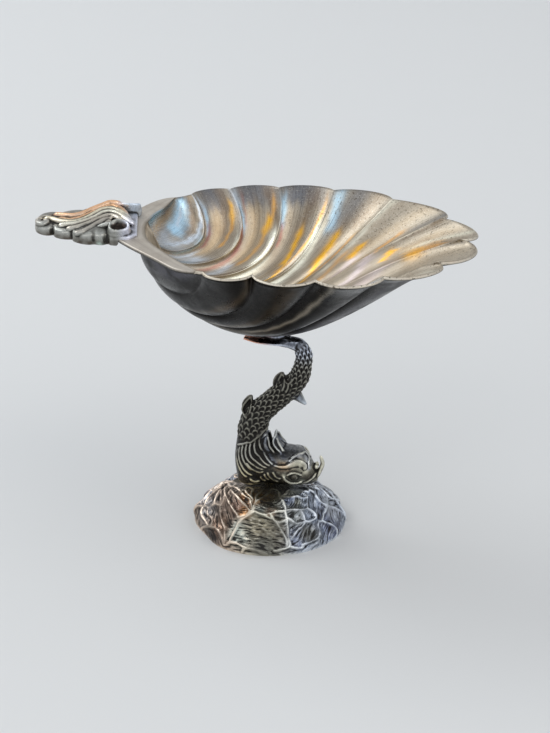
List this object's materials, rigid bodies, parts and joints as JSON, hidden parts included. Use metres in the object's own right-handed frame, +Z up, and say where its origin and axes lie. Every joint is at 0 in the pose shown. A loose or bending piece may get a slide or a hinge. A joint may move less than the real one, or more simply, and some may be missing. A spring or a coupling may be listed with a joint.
{
  "type": "shell salt cellar",
  "caption": "Fluted scallop-shell salt dish with a leaf thumb piece, carried on the tail of a scaly dolphin that stands on a hollow cast rock.",
  "frame": {"origin": "on the table under the middle of the whole object's box", "axes": "+X along the shell away from the thumb piece, +Z up"},
  "size_m": [0.1328, 0.0878, 0.1013],
  "materials": {
    "dish_silver": "worn silver plate, warm grey inside and blackened outside",
    "thumb_silver": "bright cast silver plate with dark recesses",
    "dolphin_silver": "antiqued cast silver plate, black in the hollows",
    "rock_silver": "antiqued cast silver plate with worn edges",
    "fastening_brass": "dull turned brass"
  },
  "bodies": {
    "root": {"shell_bowl": "dish_silver", "thumb_piece": "thumb_silver", "dolphin_stem": "dolphin_silver", "rock_base": "rock_silver", "tie_stud": "fastening_brass", "washer": "fastening_brass", "nut": "fastening_brass"}
  },
  "joints": []
}
